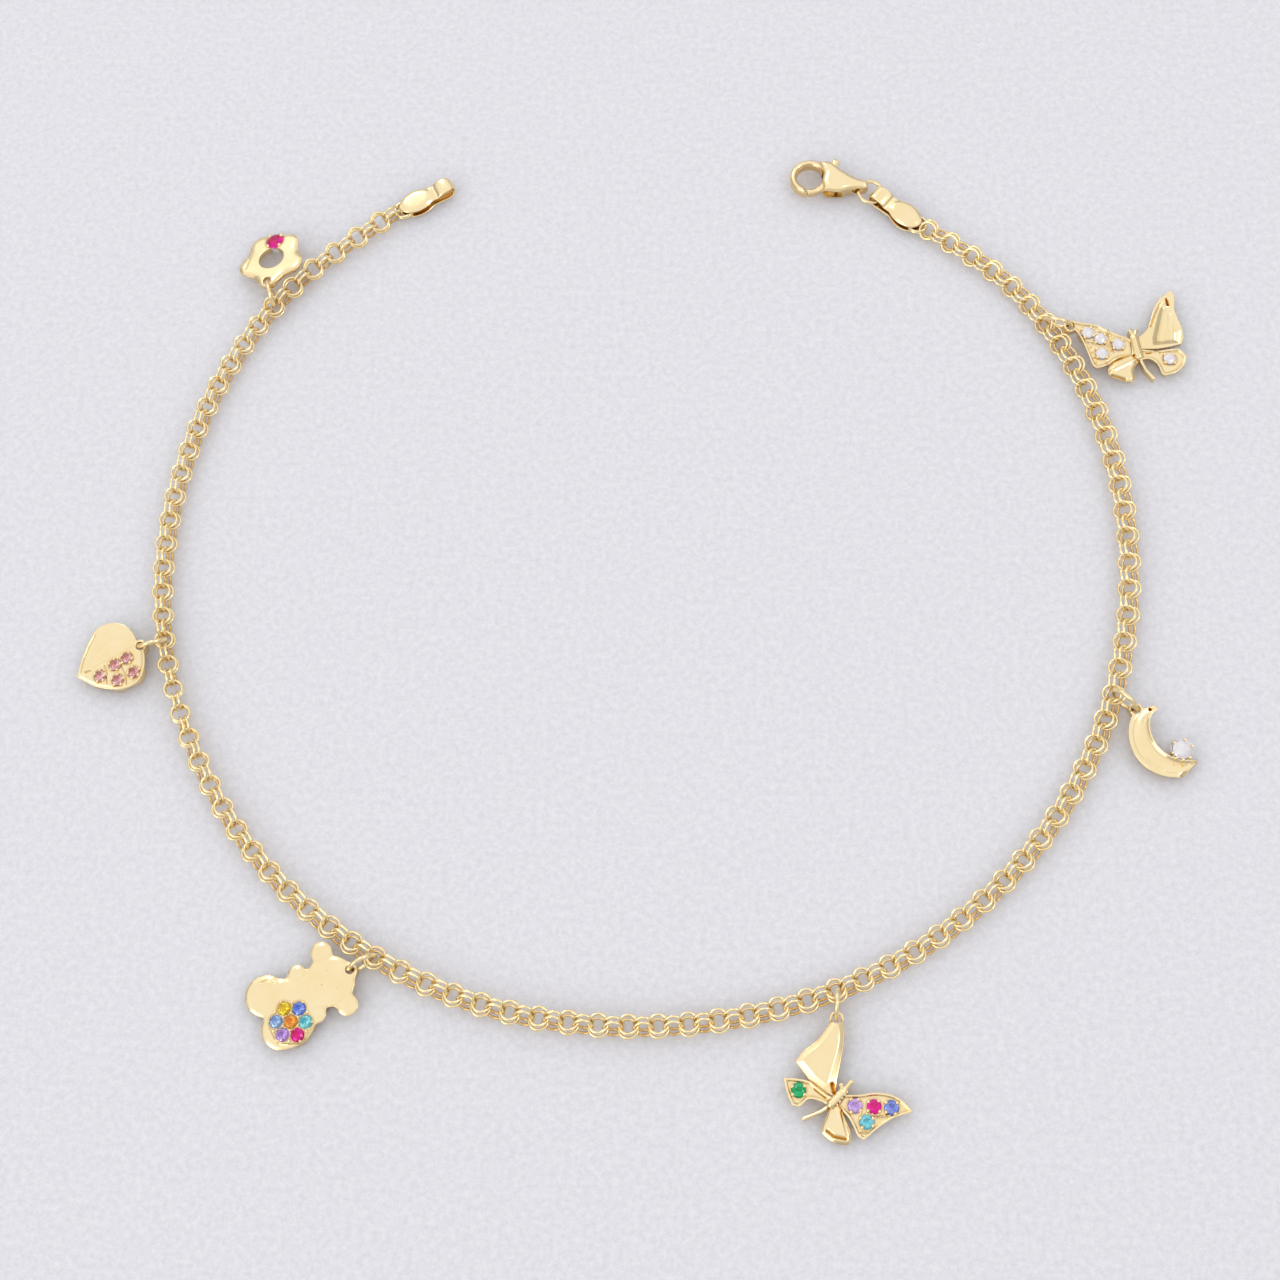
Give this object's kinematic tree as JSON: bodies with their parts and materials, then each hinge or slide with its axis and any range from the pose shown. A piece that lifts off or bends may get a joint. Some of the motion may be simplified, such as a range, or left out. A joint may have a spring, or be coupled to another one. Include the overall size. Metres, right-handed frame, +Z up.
{
  "type": "charm anklet",
  "caption": "Ankle chain of paired round links with small charms set with coloured stones, folded end tags and a lobster clasp, lying open.",
  "frame": {"origin": "middle of the footprint, on the surface that the anklet rests on", "axes": "+Z up, +X across the loop's widest side, +Y towards the clasp and the end tag"},
  "size_m": [0.1088, 0.1014, 0.0031],
  "materials": {
    "gold": "polished pale yellow gold",
    "magenta_stone": "faceted and polished",
    "dusty_pink_stone": "faceted and polished",
    "orange_stone": "faceted and polished",
    "yellow_stone": "faceted and polished",
    "cornflower_stone": "faceted and polished",
    "aqua_stone": "faceted and polished",
    "lilac_stone": "faceted and polished",
    "light_blue_stone": "faceted and polished",
    "periwinkle_stone": "faceted and polished",
    "green_stone": "faceted and polished",
    "clear_stone": "faceted and polished"
  },
  "bodies": {
    "anklet": {"chain": "gold", "end_tag": "gold", "clasp_tag": "gold", "clasp_ring": "gold", "clasp_body": "gold", "flower_ring": "gold", "heart_ring": "gold", "bear_ring": "gold", "coloured_butterfly_ring": "gold", "moon_ring": "gold", "white_butterfly_ring": "gold", "flower_charm": "gold", "heart_charm": "gold", "bear_charm": "gold", "coloured_butterfly_charm": "gold", "moon_charm": "gold", "white_butterfly_charm": "gold", "flower_stone_pink": "magenta_stone", "heart_stone_tip": "dusty_pink_stone", "heart_stone_middle": "dusty_pink_stone", "heart_stone_upper": "dusty_pink_stone", "heart_stone_lower": "dusty_pink_stone", "heart_stone_right": "dusty_pink_stone", "bear_stone_orange": "orange_stone", "bear_stone_aqua": "aqua_stone", "bear_stone_cornflower": "cornflower_stone", "bear_stone_yellow": "yellow_stone", "bear_stone_light_blue": "light_blue_stone", "bear_stone_lilac": "lilac_stone", "bear_stone_magenta": "magenta_stone", "coloured_butterfly_stone_green": "green_stone", "coloured_butterfly_stone_lilac": "lilac_stone", "coloured_butterfly_stone_magenta": "magenta_stone", "coloured_butterfly_stone_blue": "periwinkle_stone", "coloured_butterfly_stone_aqua": "aqua_stone", "moon_stone_clear": "clear_stone", "white_butterfly_stone_outer": "clear_stone", "white_butterfly_stone_middle": "clear_stone", "white_butterfly_stone_inner": "clear_stone", "white_butterfly_stone_lower": "clear_stone", "white_butterfly_stone_right": "clear_stone"},
    "lever": {"clasp_lever": "gold"}
  },
  "joints": [
    {"name": "lever_pull", "type": "hinge", "parent": "anklet", "child": "lever", "pos_m": [0.01925, 0.04785, 0.001], "axis": [0, 0, -1], "range_deg": [0, 22], "stiffness_Nm_per_rad": 0.001, "springref_deg": -17.19}
  ]
}
